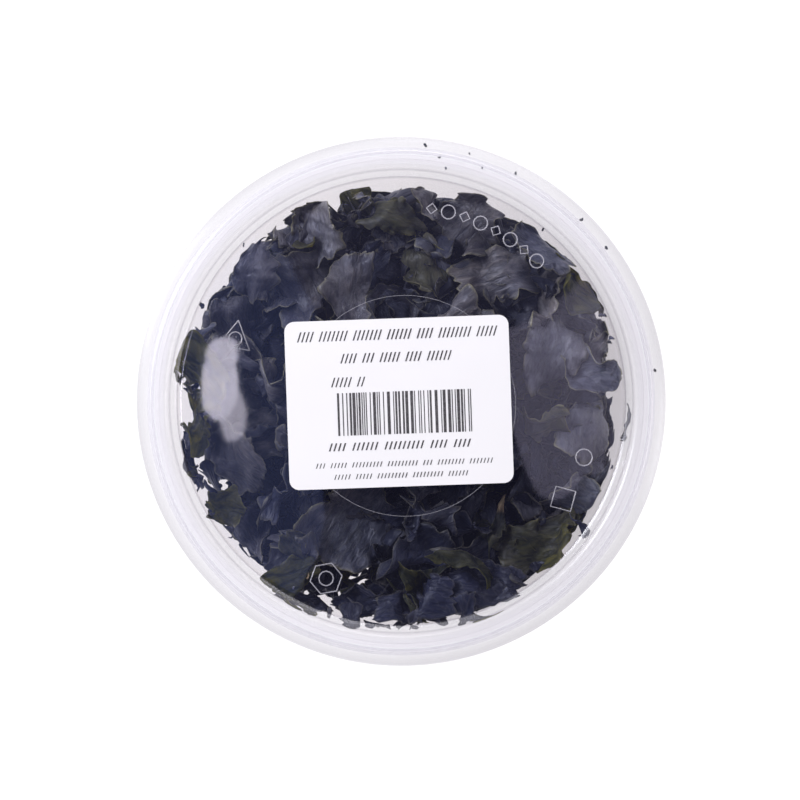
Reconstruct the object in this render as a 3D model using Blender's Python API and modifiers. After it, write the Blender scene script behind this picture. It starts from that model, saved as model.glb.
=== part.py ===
"""A round lidded tub of dried cut wakame.

The tub and its snap-on lid are thin polypropylene shells of one wall thickness each. The tub is filled
with crisp curled flakes of dried seaweed: a fused heap, with the uppermost loose flakes lying on it, and a
paper label is stuck on the lid's sunken panel. Metres, +Z up, origin under the middle of the tub's foot.
"""

import math

import bmesh
import bpy
import numpy as np
from mathutils import Matrix, Vector
from mathutils.bvhtree import BVHTree

MM = 0.001
TURN_STEPS = 56
FILLET_STEP = math.radians(40)

# The tub and the lid.
LID_RADIUS = 47.5 * MM
TOTAL_HEIGHT = 48.0 * MM
LID_WALL = 0.6 * MM
TUB_WALL = 0.7 * MM
SEAT_GAP = 0.3 * MM  # clearance between pieces that touch
PANEL_TOP = TOTAL_HEIGHT - 3.4 * MM
PANEL_RADIUS = 40.2 * MM
CHANNEL_INNER = 41.6 * MM  # the lid's channel, from its inner top edge
CHANNEL_OUTER = 45.2 * MM  # to its outer one
SKIRT_WAIST = TOTAL_HEIGHT - 3.4 * MM
SKIRT_BOTTOM = TOTAL_HEIGHT - 6.0 * MM
FOOT_RISE = 1.0 * MM
FOOT_INNER = 32.6 * MM
FOOT_OUTER = 35.4 * MM
HEEL_RADIUS = 36.6 * MM
HEEL_HEIGHT = 1.4 * MM
SHOULDER_RADIUS = 41.9 * MM
SHOULDER_HEIGHT = TOTAL_HEIGHT - 8.2 * MM
COLLAR_RADIUS = 42.9 * MM
RIM_RADIUS = 43.8 * MM
RIM_TOP = TOTAL_HEIGHT - LID_WALL - SEAT_GAP
RIM_DROP = 1.9 * MM

# The label.
LABEL_SIZE = (40.0 * MM, 30.0 * MM)
LABEL_CORNER = 1.8 * MM
LABEL_THICK = 0.15 * MM
LABEL_CENTRE = (-0.4 * MM, -0.2 * MM)
LABEL_TURN = math.radians(2.0)

# The wakame. A flake is modelled as a blade of this thickness, round its middle surface.
FLAKE_THICK = 0.7 * MM
WALL_MARGIN = SEAT_GAP + FLAKE_THICK / 2
SOFT_BAND = 3.0 * MM  # the layer by the plastic in which flakes are pressed flat
HEAP_SEED = 41
CORE_RADIUS = 33.0 * MM
CORE_BOTTOM = 6.0 * MM
CORE_TOP = 32.2 * MM
CORE_LUMPS = 0.8 * MM
SIDE_ROWS = (8.0 * MM, 16.5 * MM, 25.0 * MM, 31.5 * MM)
SIDE_PER_ROW = 13
TOP_FLAKES = 46
BOTTOM_FLAKES = 16
GOLDEN_ANGLE = math.pi * (3 - math.sqrt(5))

# The loose flakes on top, clockwise from the upper left: x, y, length, width in millimetres, the way the
# length points in degrees, and the tone of the flake.
LOOSE_FLAKES = (
    (-15.5, 31.8, 15.5, 9.0, 24, "dark"),
    (-0.8, 33.6, 12.5, 6.5, 8, "olive"),
    (13.2, 33.8, 14.0, 10.5, -20, "dark"),
    (5.0, 36.5, 8.0, 6.0, -60, "dark"),
    (5.2, 23.6, 10.5, 8.0, 70, "olive"),
    (-5.6, 25.2, 8.0, 6.5, 15, "dark"),
    (16.8, 22.8, 15.5, 9.5, 80, "dark"),
    (26.5, 28.0, 13.0, 8.0, -45, "dark"),
    (32.4, 21.2, 14.0, 8.5, -35, "olive"),
    (27.5, 8.6, 15.0, 11.0, 75, "dark"),
    (36.2, 5.0, 12.5, 8.0, 65, "dark"),
    (34.2, -4.6, 13.5, 10.0, -80, "dark"),
    (26.0, -3.8, 9.0, 6.0, 10, "olive"),
    (32.0, -17.5, 12.0, 9.0, 60, "dark"),
    (24.4, -27.0, 17.0, 12.5, 65, "olive"),
    (17.6, -22.8, 12.0, 3.6, 75, "stem"),
    (15.8, -33.0, 15.5, 10.0, 15, "dark"),
    (12.0, -29.0, 13.0, 3.8, 30, "olive"),
    (4.4, -35.5, 14.5, 8.5, -5, "dark"),
    (-7.6, -37.0, 10.5, 7.5, -30, "dark"),
    (-27.5, -24.5, 12.5, 8.0, -60, "dark"),
    (-9.0, -22.5, 19.0, 15.5, 50, "dark"),
    (-18.5, -27.8, 9.5, 3.6, -15, "stem"),
    (-19.6, -32.2, 14.0, 7.5, -20, "olive"),
    (-33.4, -20.2, 10.5, 6.0, 80, "olive"),
    (-30.0, -9.5, 13.0, 10.0, 40, "dark"),
    (-37.0, -4.4, 12.5, 5.5, -60, "olive"),
    (-36.6, 6.6, 14.5, 7.5, 55, "olive"),
    (-29.0, 13.5, 14.0, 10.0, 70, "dark"),
    (-18.6, 20.6, 15.5, 11.0, -15, "dark"),
    (-9.4, 20.2, 14.0, 8.0, 85, "dark"),
    (-26.6, 24.4, 11.5, 8.0, 35, "dark"),
)
LOOSE_SEED = 700
LOOSE_TILT = math.radians(9)
LOOSE_START = 60.0 * MM  # height from which a loose flake is lowered
LOOSE_LOWEST = 34.0 * MM  # a flake over the crack by the wall is caught there at this height
FLAKE_CELLS = (4, 3)
HEAP_CELLS = (3, 2)

COLOURS = {
    "plastic": ((0.86, 0.86, 0.90, 1.0), 0.22, 0.35),
    "paper": ((0.90, 0.89, 0.90, 1.0), 0.60, 1.0),
    "dark": ((0.018, 0.022, 0.030, 1.0), 0.50, 1.0),
    "olive": ((0.060, 0.062, 0.022, 1.0), 0.50, 1.0),
    "stem": ((0.180, 0.110, 0.050, 1.0), 0.55, 1.0),
}


def clear_scene():
    for obj in list(bpy.data.objects):
        bpy.data.objects.remove(obj)


def new_collection(name):
    made = bpy.data.collections.new(name)
    bpy.context.scene.collection.children.link(made)
    return made


def material(name):
    found = bpy.data.materials.get(name)
    if found:
        return found
    colour, roughness, alpha = COLOURS[name]
    made = bpy.data.materials.new(name)
    made.use_nodes = True
    shader = made.node_tree.nodes["Principled BSDF"]
    shader.inputs["Base Color"].default_value = colour
    shader.inputs["Roughness"].default_value = roughness
    shader.inputs["Alpha"].default_value = alpha
    return made


def add_object(name, mesh, collection, slot):
    obj = bpy.data.objects.new(name, mesh)
    collection.objects.link(obj)
    if not mesh.materials:
        mesh.materials.append(material(slot))
    return obj


def rounded_path(corners):
    """The path through corners of (radius from the axis, height, fillet), each fillet as an arc."""
    path = [Vector(corners[0][:2])]
    for before, here, after in zip(corners, corners[1:], corners[2:]):
        corner = Vector(here[:2])
        towards = (Vector(before[:2]) - corner).normalized()
        onwards = (Vector(after[:2]) - corner).normalized()
        turn = math.pi - towards.angle(onwards)
        reach = here[2] * math.tan(turn / 2)
        if reach < 1e-6:
            path.append(corner)
            continue
        bisector = (towards + onwards).normalized()
        middle = corner + bisector * (here[2] / math.cos(turn / 2))
        start = corner + towards * reach - middle
        end = corner + onwards * reach - middle
        steps = max(1, math.ceil(turn / FILLET_STEP))
        swing = start.angle_signed(end)
        for step in range(steps + 1):
            arm = start.copy()
            arm.rotate(Matrix.Rotation(-swing * step / steps, 2))
            path.append(middle + arm)
    path.append(Vector(corners[-1][:2]))
    return path


def turned_shell(name, corners, wall, collection):
    """A thin shell turned round Z from the path of its outer face, with the wall added inside."""
    path = rounded_path(corners)
    mesh = bpy.data.meshes.new(name)
    edges = [(i, i + 1) for i in range(len(path) - 1)]
    mesh.from_pydata([(p.x, 0, p.y) for p in path], edges, [])
    obj = add_object(name, mesh, collection, "plastic")
    screw = obj.modifiers.new("turn", "SCREW")
    screw.axis = "Z"
    screw.steps = screw.render_steps = TURN_STEPS
    screw.use_merge_vertices = True
    screw.merge_threshold = 0.00001
    solidify = obj.modifiers.new("wall", "SOLIDIFY")
    solidify.thickness = wall
    solidify.offset = -1
    solidify.use_even_offset = True
    return obj


def make_tub(collection):
    """Foot ring, drafted wall, a shoulder under the lid's skirt, and the turned-over rim."""
    corners = [
        (0, FOOT_RISE, 0),
        (FOOT_INNER - FOOT_RISE, FOOT_RISE, 0),
        (FOOT_INNER, 0, 0),
        (FOOT_OUTER, 0, 0),
        (HEEL_RADIUS, HEEL_HEIGHT, 1.2 * MM),
        (SHOULDER_RADIUS, SHOULDER_HEIGHT, 0),
        (COLLAR_RADIUS - 0.2 * MM, SHOULDER_HEIGHT + 0.9 * MM, 0),
        (COLLAR_RADIUS, RIM_TOP - TUB_WALL, 0),
        (RIM_RADIUS - TUB_WALL, RIM_TOP - TUB_WALL, 0),
        (RIM_RADIUS - TUB_WALL, RIM_TOP - RIM_DROP, 0),
    ]
    return turned_shell("tub", corners[::-1], TUB_WALL, collection)


def make_lid(collection):
    """Sunken panel, plug wall, the channel over the tub's rim, and the flared skirt with its lip."""
    corners = [
        (0, PANEL_TOP, 0),
        (PANEL_RADIUS, PANEL_TOP, 0.8 * MM),
        (CHANNEL_INNER, TOTAL_HEIGHT, 0.8 * MM),
        (CHANNEL_OUTER, TOTAL_HEIGHT, 1.0 * MM),
        (CHANNEL_OUTER - 0.5 * MM, SKIRT_WAIST, 0),
        (LID_RADIUS - 1.2 * MM, SKIRT_BOTTOM + 0.7 * MM, 0),
        (LID_RADIUS, SKIRT_BOTTOM, 0),
    ]
    return turned_shell("lid", corners, LID_WALL, collection)


def make_label(collection):
    """A paper sticker with rounded corners, lying on the lid's panel."""
    half_x, half_y = LABEL_SIZE[0] / 2 - LABEL_CORNER, LABEL_SIZE[1] / 2 - LABEL_CORNER
    points = []
    for quarter, (side_x, side_y) in enumerate(((1, 1), (-1, 1), (-1, -1), (1, -1))):
        for step in range(4):
            angle = math.radians(90 * quarter + 30 * step)
            x = side_x * half_x + LABEL_CORNER * math.cos(angle)
            y = side_y * half_y + LABEL_CORNER * math.sin(angle)
            points.append((x, y, 0))
    curve = bpy.data.curves.new("label", "CURVE")
    curve.dimensions = "2D"
    curve.fill_mode = "BOTH"
    curve.extrude = LABEL_THICK / 2
    outline = curve.splines.new("POLY")
    outline.points.add(len(points) - 1)
    for point, place in zip(outline.points, points):
        point.co = (*place, 1)
    outline.use_cyclic_u = True
    obj = add_object("label", curve, collection, "paper")
    obj.location = (*LABEL_CENTRE, PANEL_TOP + SEAT_GAP + LABEL_THICK / 2)
    obj.rotation_euler.z = LABEL_TURN
    return obj


class Flake:
    """One dried flake: a sheet with a rounded, lopsided outline, rolled one way and buckled the other."""

    def __init__(self, rng, length, width, roll=1.0):
        self.length, self.width = length, width
        self.corner = rng.uniform(0.45, 0.95)  # 0 leaves the outline square, 1 makes it an ellipse
        self.taper = rng.uniform(-0.35, 0.35)
        self.sickle = rng.uniform(-0.15, 0.15)
        self.roll_way = rng.uniform(0, math.pi)
        self.roll = roll * rng.uniform(0.3, 1.5) * rng.choice((-1, 1))
        self.wave = roll * rng.uniform(0.25, 0.75)
        self.wave_turns = rng.uniform(0.8, 1.5)
        self.wave_start = rng.uniform(0, math.tau)
        self.buckle = roll * rng.uniform(0.05, 0.11) * width
        self.buckle_turns = rng.uniform(0.7, 1.3)
        self.buckle_start = rng.uniform(0, math.tau)
        self.buckle_skew = rng.uniform(-1.5, 1.5)

    def outline(self, s, t):
        """Flat places of the sheet's points s and t, each from -1 to 1."""
        x = s * np.sqrt(1 - self.corner * t * t / 2) * self.length / 2
        y = t * np.sqrt(1 - self.corner * s * s / 2) * self.width / 2
        y = y * (1 + self.taper * s) + self.sickle * self.length * (s * s - 0.4)
        return x, y

    def bend(self, x, y):
        """Rolls the flat sheet up: its slope changes along roll_way, and it buckles across that."""
        half = self.length * 0.62
        along = x * math.cos(self.roll_way) + y * math.sin(self.roll_way)
        across = y * math.cos(self.roll_way) - x * math.sin(self.roll_way)
        run = np.linspace(-half, half, 81)
        slope = self.roll * run / half
        slope = slope + self.wave * np.sin(self.wave_turns * math.pi * run / half + self.wave_start)
        slope = slope - np.interp(0, run, slope)
        step = run[1] - run[0]
        line_x = np.cumsum(np.cos(slope)) * step
        line_z = np.cumsum(np.sin(slope)) * step
        place_x = np.interp(along, run, line_x - np.interp(0, run, line_x))
        place_z = np.interp(along, run, line_z - np.interp(0, run, line_z))
        lean = np.interp(along, run, slope)
        phase = self.buckle_turns * math.pi * across / self.width + self.buckle_start
        rise = self.buckle * np.sin(phase + self.buckle_skew * along / half)
        place_x = place_x - rise * np.sin(lean)
        place_z = place_z + rise * np.cos(lean)
        turned_x = place_x * math.cos(self.roll_way) - across * math.sin(self.roll_way)
        turned_y = place_x * math.sin(self.roll_way) + across * math.cos(self.roll_way)
        return np.stack([turned_x, turned_y, place_z], axis=1)

    def surface(self, s, t):
        return self.bend(*self.outline(s, t))


def facing(normal, spin):
    """A rotation that takes +Z to normal, after a turn by spin about it."""
    return Vector(normal).to_track_quat("Z", "Y").to_matrix() @ Matrix.Rotation(spin, 3, "Z")


def placed(points, centre, normal, spin):
    return points @ np.array(facing(normal, spin)).T + np.array(centre)


def soft_limit(values, limit, band=SOFT_BAND):
    """Values that would near or pass the limit are eased in, so that they crowd below it in order."""
    over = np.maximum(values - (limit - band), 0)
    return np.where(over > 0, limit - band * np.exp(-over / band), values)


def wall_radius(height):
    """The tub's inner radius at this height, up to its shoulder."""
    share = (np.minimum(height, SHOULDER_HEIGHT) - HEEL_HEIGHT) / (SHOULDER_HEIGHT - HEEL_HEIGHT)
    return HEEL_RADIUS + share * (SHOULDER_RADIUS - HEEL_RADIUS) - TUB_WALL


def pressed_in(points, top):
    """The points eased inside the tub's wall, above its floor and below top."""
    floor = FOOT_RISE + TUB_WALL + WALL_MARGIN
    points[:, 2] = soft_limit(points[:, 2], top)
    points[:, 2] = -soft_limit(-points[:, 2], -floor, SOFT_BAND / 2)
    radius = np.hypot(points[:, 0], points[:, 1])
    limit = wall_radius(points[:, 2]) - WALL_MARGIN
    points[:, :2] *= (soft_limit(radius, limit) / np.maximum(radius, 1e-9))[:, None]
    return points


def flake_object(name, flake, cells, place, top, collection, slot):
    """The flake as a blade: a grid on its middle surface, thickened equally to both sides."""
    grid = bmesh.new()
    bmesh.ops.create_grid(grid, x_segments=cells[0], y_segments=cells[1], size=1)
    bmesh.ops.triangulate(grid, faces=grid.faces)
    flat = np.array([vert.co for vert in grid.verts])
    points = pressed_in(placed(flake.surface(flat[:, 0], flat[:, 1]), *place), top)
    for vert, point in zip(grid.verts, points):
        vert.co = point
    mesh = bpy.data.meshes.new(name)
    grid.to_mesh(mesh)
    grid.free()
    obj = add_object(name, mesh, collection, slot)
    blade = obj.modifiers.new("blade", "SOLIDIFY")
    blade.thickness = FLAKE_THICK
    blade.offset = 0
    return obj


def tilted(normal, tilt, rng):
    """The normal, leant over by tilt in a random direction."""
    side = Vector(normal).orthogonal().normalized()
    side.rotate(Matrix.Rotation(rng.uniform(0, math.tau), 3, normal))
    leant = Vector(normal)
    leant.rotate(Matrix.Rotation(tilt, 3, side))
    return leant


def make_core(collection):
    """The inside of the heap, a lumpy drum that its flakes are pressed into."""
    ball = bmesh.new()
    bmesh.ops.create_icosphere(ball, subdivisions=4, radius=1)
    middle, half = (CORE_TOP + CORE_BOTTOM) / 2, (CORE_TOP - CORE_BOTTOM) / 2
    for vert in ball.verts:
        x, y, z = vert.co
        squareness = (math.hypot(x, y) ** 5 + abs(z) ** 5) ** -0.2
        lump = 1 + CORE_LUMPS / half * math.sin(7 * x + 2) * math.sin(6 * y + 1) * math.sin(5 * z + 3)
        radius = CORE_RADIUS * squareness * lump
        vert.co = (x * radius, y * radius, middle + z * half * squareness * lump)
    mesh = bpy.data.meshes.new("core")
    ball.to_mesh(mesh)
    ball.free()
    return add_object("core", mesh, collection, "dark")


def heap_places(rng):
    """The middle, normal and spin of every flake of the heap: round the wall, on top, and below."""
    for row, height in enumerate(SIDE_ROWS):
        for step in range(SIDE_PER_ROW):
            angle = math.tau * (step + 0.5 * (row % 2) + rng.uniform(-0.2, 0.2)) / SIDE_PER_ROW
            rise = height + rng.uniform(-1.5, 1.5) * MM
            radius = wall_radius(rise) - rng.uniform(2.2, 4.2) * MM
            outward = Vector((math.cos(angle), math.sin(angle), 0))
            yield (*outward.xy * radius, rise), tilted(outward, rng.uniform(0.1, 0.5), rng)
    for step in range(TOP_FLAKES):
        radius = 38.5 * MM * math.sqrt((step + 0.5) / TOP_FLAKES)
        angle = step * GOLDEN_ANGLE
        rise = CORE_TOP + rng.uniform(-0.6, 1.4) * MM - 1.5 * MM * (radius / CORE_RADIUS) ** 4
        centre = (radius * math.cos(angle), radius * math.sin(angle), rise)
        yield centre, tilted((0, 0, 1), rng.uniform(0.05, 0.35), rng)
    for step in range(BOTTOM_FLAKES):
        radius = 32.0 * MM * math.sqrt((step + 0.5) / BOTTOM_FLAKES)
        angle = step * GOLDEN_ANGLE + 1
        centre = (radius * math.cos(angle), radius * math.sin(angle), CORE_BOTTOM - 1.2 * MM)
        yield centre, tilted((0, 0, -1), rng.uniform(0.05, 0.3), rng)


def largest_island(mesh):
    """Drops every closed skin of the mesh but the largest: sealed hollows and stray scraps."""
    work = bmesh.new()
    work.from_mesh(mesh)
    seen, islands = set(), []
    for first in work.verts:
        if first in seen:
            continue
        seen.add(first)
        island, waiting = [], [first]
        while waiting:
            vert = waiting.pop()
            island.append(vert)
            for edge in vert.link_edges:
                other = edge.other_vert(vert)
                if other not in seen:
                    seen.add(other)
                    waiting.append(other)
        islands.append(island)
    islands.sort(key=len)
    for island in islands[:-1]:
        bmesh.ops.delete(work, geom=island, context="VERTS")
    bmesh.ops.triangulate(work, faces=work.faces)
    work.to_mesh(mesh)
    work.free()


def applied(obj):
    """The object's mesh with its modifiers applied."""
    evaluated = obj.evaluated_get(bpy.context.evaluated_depsgraph_get())
    return bpy.data.meshes.new_from_object(evaluated)


def make_heap(collection):
    """The fused heap: the core with a coat of flakes that lean on the wall, the floor and each other."""
    scratch = new_collection("heap_flakes")
    rng = np.random.default_rng(HEAP_SEED)
    top = CORE_TOP + 3.2 * MM
    for number, (centre, normal) in enumerate(heap_places(rng)):
        flake = Flake(rng, rng.uniform(9.5, 15.5) * MM, rng.uniform(6.5, 10.5) * MM)
        place = (centre, normal, rng.uniform(0, math.tau))
        flake_object(f"heap_flake_{number}", flake, HEAP_CELLS, place, top, scratch, "dark")
    core = make_core(collection)
    union = core.modifiers.new("fuse", "BOOLEAN")
    union.operation = "UNION"
    union.operand_type = "COLLECTION"
    union.collection = scratch
    union.solver = "MANIFOLD"
    fused = applied(core)
    fused.name = "heap"
    largest_island(fused)
    for flake in list(scratch.objects):
        bpy.data.objects.remove(flake)
    bpy.data.objects.remove(core)
    bpy.data.collections.remove(scratch)
    return add_object("heap", fused, collection, "dark")


def probe_points(mesh):
    """The mesh's corners, edge middles and face middles, where its height above things is measured."""
    corners = [vert.co.copy() for vert in mesh.vertices]
    points = list(corners)
    points += [(corners[a] + corners[b]) / 2 for a, b in (edge.vertices for edge in mesh.edges)]
    points += [face.center.copy() for face in mesh.polygons]
    return points


def mesh_tree(mesh):
    return BVHTree.FromPolygons([v.co for v in mesh.vertices], [p.vertices for p in mesh.polygons])


def drop_height(mesh, below):
    """How far the mesh can sink until it rests, just clear, on the trees below it or over the crack."""
    own = mesh_tree(mesh)
    height = LOOSE_START - LOOSE_LOWEST
    for tree, points in below.items():
        hits = [tree.ray_cast(point, (0, 0, -1)) for point in probe_points(mesh)]
        hits += [own.ray_cast(point, (0, 0, 1)) for point in points]
        height = min([height] + [hit[3] - SEAT_GAP for hit in hits if hit[0]])
    while True:
        lowered = mesh.copy()
        lowered.transform(Matrix.Translation((0, 0, -height)))
        tree = mesh_tree(lowered)
        bpy.data.meshes.remove(lowered)
        if not any(tree.overlap(other) for other in below):
            return height
        height -= SEAT_GAP


def make_loose_flakes(heap, collection):
    """The uppermost flakes, each let down from above until it rests on the ones below."""
    below = {}

    def add_below(mesh):
        below[mesh_tree(mesh)] = probe_points(mesh)

    add_below(heap.data)
    roof = PANEL_TOP - LID_WALL - SEAT_GAP
    made = []
    for number, (x, y, length, width, way, slot) in enumerate(LOOSE_FLAKES):
        name = f"flake_{len(made) + 1:02d}"
        for roll in (0.8, 0.5, 0.3, 0.15):
            rng = np.random.default_rng(LOOSE_SEED + number)
            flake = Flake(rng, length * MM, width * MM, roll)
            normal = tilted((0, 0, 1), rng.uniform(0, LOOSE_TILT) * roll, rng)
            place = ((x * MM, y * MM, LOOSE_START), normal, math.radians(way))
            obj = flake_object(name, flake, FLAKE_CELLS, place, 2 * LOOSE_START, collection, slot)
            mesh = applied(obj)
            bpy.data.objects.remove(obj)
            drop = drop_height(mesh, below)
            if max(vert.co.z for vert in mesh.vertices) - drop < roof:
                break
        else:
            print("no room for", name, (max(vert.co.z for vert in mesh.vertices) - drop - roof) / MM)
            continue
        mesh.transform(Matrix.Translation((0, 0, -drop)))
        mesh.name = name
        made.append(add_object(name, mesh, collection, slot))
        add_below(mesh)
    return made


def main():
    clear_scene()
    collection = new_collection("wakame_tub")
    make_tub(collection)
    make_lid(collection)
    make_label(collection)
    heap = make_heap(collection)
    make_loose_flakes(heap, collection)


main()
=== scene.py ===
"""The looks of a lidded tub of dried cut wakame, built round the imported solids."""

import math

import bpy
import numpy as np
from mathutils import Matrix, Vector


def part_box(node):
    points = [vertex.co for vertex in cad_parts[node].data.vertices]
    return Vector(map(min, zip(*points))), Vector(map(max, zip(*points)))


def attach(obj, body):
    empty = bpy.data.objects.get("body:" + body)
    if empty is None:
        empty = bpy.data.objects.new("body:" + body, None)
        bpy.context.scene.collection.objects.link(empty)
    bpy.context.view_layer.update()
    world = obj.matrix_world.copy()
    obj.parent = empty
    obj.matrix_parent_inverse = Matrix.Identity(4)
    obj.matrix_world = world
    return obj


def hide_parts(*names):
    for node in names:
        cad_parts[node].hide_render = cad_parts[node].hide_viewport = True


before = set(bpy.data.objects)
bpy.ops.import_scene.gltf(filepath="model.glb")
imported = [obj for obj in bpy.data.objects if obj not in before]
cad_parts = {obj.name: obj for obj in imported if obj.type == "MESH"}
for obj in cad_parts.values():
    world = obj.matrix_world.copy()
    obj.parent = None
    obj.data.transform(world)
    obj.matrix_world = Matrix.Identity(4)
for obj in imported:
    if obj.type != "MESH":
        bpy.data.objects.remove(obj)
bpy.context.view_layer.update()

MM = 0.001

# The tub and the lid, as in the solids.
LID_RADIUS = 47.5 * MM
TOTAL_HEIGHT = 48.0 * MM
LID_WALL = 0.6 * MM
TUB_WALL = 0.7 * MM
SEAT_GAP = 0.3 * MM
PANEL_TOP = TOTAL_HEIGHT - 3.4 * MM
PANEL_RADIUS = 40.2 * MM
CHANNEL_INNER = 41.6 * MM
CHANNEL_OUTER = 45.2 * MM
SKIRT_WAIST = TOTAL_HEIGHT - 3.4 * MM
SKIRT_BOTTOM = TOTAL_HEIGHT - 6.0 * MM
FOOT_RISE = 1.0 * MM
FOOT_INNER = 32.6 * MM
FOOT_OUTER = 35.4 * MM
HEEL_RADIUS = 36.6 * MM
HEEL_HEIGHT = 1.4 * MM
SHOULDER_RADIUS = 41.9 * MM
SHOULDER_HEIGHT = TOTAL_HEIGHT - 8.2 * MM
COLLAR_RADIUS = 42.9 * MM
COLLAR_RISE = 1.3 * MM
RIM_RADIUS = 43.8 * MM
RIM_TOP = TOTAL_HEIGHT - LID_WALL - SEAT_GAP
RIM_DROP = 1.9 * MM
TURN_STEPS = 224
ARC_STEP = math.radians(12)
SHARP_ANGLE = math.radians(50)

# The label, and its print in mm from the label's middle. The bars have a left and a right end, a
# low and a high edge. Rows of strokes have the same, then the pitch and the width of a stroke.
LABEL_SIZE = (40.0 * MM, 30.0 * MM)
LABEL_GRID = (81, 61)
LABEL_CORNER = 1.8 * MM
LABEL_CENTRE = (-0.4 * MM, -0.2 * MM)
LABEL_TURN = math.radians(2.0)
LABEL_TOP = PANEL_TOP + 0.3 * MM
LABEL_BOTTOM = PANEL_TOP + 0.05 * MM
PRINT_RISE = 0.035 * MM
PRINT_SEED = 5
BARS = (-11.0, 13.0, -5.6, 2.0)
BAR_WIDTHS = (0.17, 0.17, 0.34, 0.51)
BAR_GAPS = (0.2, 0.2, 0.38, 0.56)
STROKE_ROWS = (
    (-17.8, 17.6, 11.3, 13.1, 0.74, 0.25), (-10.2, 9.6, 7.3, 9.0, 0.74, 0.25),
    (-12.0, -6.6, 3.1, 4.8, 0.74, 0.23), (-12.8, 12.4, -8.3, -6.9, 0.8, 0.27),
    (-15.2, 16.0, -11.3, -10.4, 0.62, 0.17), (-12.0, 12.0, -13.4, -12.5, 0.62, 0.17),
)
STROKE_SLANT = 0.35
WORD_SPACE = 2.2

# The heap of wakame, drawn from the same seeds as the solids.
FLAKE_THICK = 0.7 * MM
FINE_THICK = 0.24 * MM
WALL_MARGIN = SEAT_GAP + FLAKE_THICK / 2
FINE_MARGIN = 0.35 * MM
FINE_TOP = PANEL_TOP - LID_WALL - FINE_THICK / 2 - 0.05 * MM
SOFT_BAND = 3.0 * MM
HEAP_SEED = 41
CORE_RADIUS = 33.0 * MM
CORE_BOTTOM = 6.0 * MM
CORE_TOP = 32.2 * MM
HEAP_TOP = CORE_TOP + 3.2 * MM
SIDE_ROWS = (8.0 * MM, 16.5 * MM, 25.0 * MM, 31.5 * MM)
SIDE_PER_ROW = 13
TOP_FLAKES = 46
BOTTOM_FLAKES = 16
GOLDEN_ANGLE = math.pi * (3 - math.sqrt(5))

# The loose flakes on top, from number 1: x, y, length and width in mm, direction in degrees, tone.
LOOSE_FLAKES = (
    (-15.5, 31.8, 15.5, 9.0, 24, "dark"), (-0.8, 33.6, 12.5, 6.5, 8, "olive"),
    (13.2, 33.8, 14.0, 10.5, -20, "dark"), (5.0, 36.5, 8.0, 6.0, -60, "dark"),
    (5.2, 23.6, 10.5, 8.0, 70, "olive"), (-5.6, 25.2, 8.0, 6.5, 15, "dark"),
    (16.8, 22.8, 15.5, 9.5, 80, "dark"), (26.5, 28.0, 13.0, 8.0, -45, "dark"),
    (32.4, 21.2, 14.0, 8.5, -35, "olive"), (27.5, 8.6, 15.0, 11.0, 75, "dark"),
    (36.2, 5.0, 12.5, 8.0, 65, "dark"), (34.2, -4.6, 13.5, 10.0, -80, "dark"),
    (26.0, -3.8, 9.0, 6.0, 10, "olive"), (32.0, -17.5, 12.0, 9.0, 60, "dark"),
    (24.4, -27.0, 17.0, 12.5, 65, "olive"), (17.6, -22.8, 12.0, 3.6, 75, "stem"),
    (15.8, -33.0, 15.5, 10.0, 15, "dark"), (12.0, -29.0, 13.0, 3.8, 30, "olive"),
    (4.4, -35.5, 14.5, 8.5, -5, "dark"), (-7.6, -37.0, 10.5, 7.5, -30, "dark"),
    (-27.5, -24.5, 12.5, 8.0, -60, "dark"), (-9.0, -22.5, 19.0, 15.5, 50, "dark"),
    (-18.5, -27.8, 9.5, 3.6, -15, "stem"), (-19.6, -32.2, 14.0, 7.5, -20, "olive"),
    (-33.4, -20.2, 10.5, 6.0, 80, "olive"), (-30.0, -9.5, 13.0, 10.0, 40, "dark"),
    (-37.0, -4.4, 12.5, 5.5, -60, "olive"), (-36.6, 6.6, 14.5, 7.5, 55, "olive"),
    (-29.0, 13.5, 14.0, 10.0, 70, "dark"), (-18.6, 20.6, 15.5, 11.0, -15, "dark"),
    (-9.4, 20.2, 14.0, 8.0, 85, "dark"), (-26.6, 24.4, 11.5, 8.0, 35, "dark"),
)
LOOSE_SEED = 700
DETAIL_SEED = 1700
LOOSE_TILT = math.radians(9)
LOOSE_START = 60.0 * MM
LOOSE_ROLLS = (0.8, 0.5, 0.3, 0.15)
# How pale or how olive a loose flake is, by its number, where the photo's flake sets it.
LOOSE_LIGHT = {1: 1.6, 2: 0.9, 3: 0.5, 5: 1.1, 7: 0.9, 8: 0.6, 10: 1.3, 11: 0.8, 12: 1.0, 13: 0.9,
               14: 0.8, 15: 0.3, 17: 0.0, 19: 0.0, 20: 0.0, 21: 0.5, 22: 0.85, 26: 0.45, 29: 0.3,
               30: 0.32, 31: 0.5}
LOOSE_OLIVE = {25: 1.1, 27: 1.35, 28: 1.35}
OLIVE_SHARE = {"dark": 0.06, "olive": 0.85, "stem": 0.6}
TURNED_STEM = 23
STEM_TAPER = 0.6
FLAT_FLAKES = (1, 7, 10, 16, 22, 23, 30)
# Patches where flakes are paler or darker, part pale dust and part painted light and painted shade:
# x, y and reach in mm, then the amount.
LIGHT_AND_DUST_PATCHES = ((-22, 2, 11, 0.5), (-6, -23, 9, 0.5), (28, 4, 13, 0.9), (-14, 31, 9, 0.8),
                (3, 32, 7, 0.6), (-22, 22, 9, -0.5), (24, 24, 9, 0.3), (26, -19, 7, 0.7),
                (10, -28, 13, -0.5))

# The cells of a fine flake's grid, along and across, by where it lies.
LOOSE_CELLS = (34, 24)
TOP_CELLS = (24, 16)
FILL_CELLS = (20, 14)
RIM_CELLS = (18, 12)
LOW_CELLS = (12, 9)
SPECK_CELLS = (6, 5)
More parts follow.
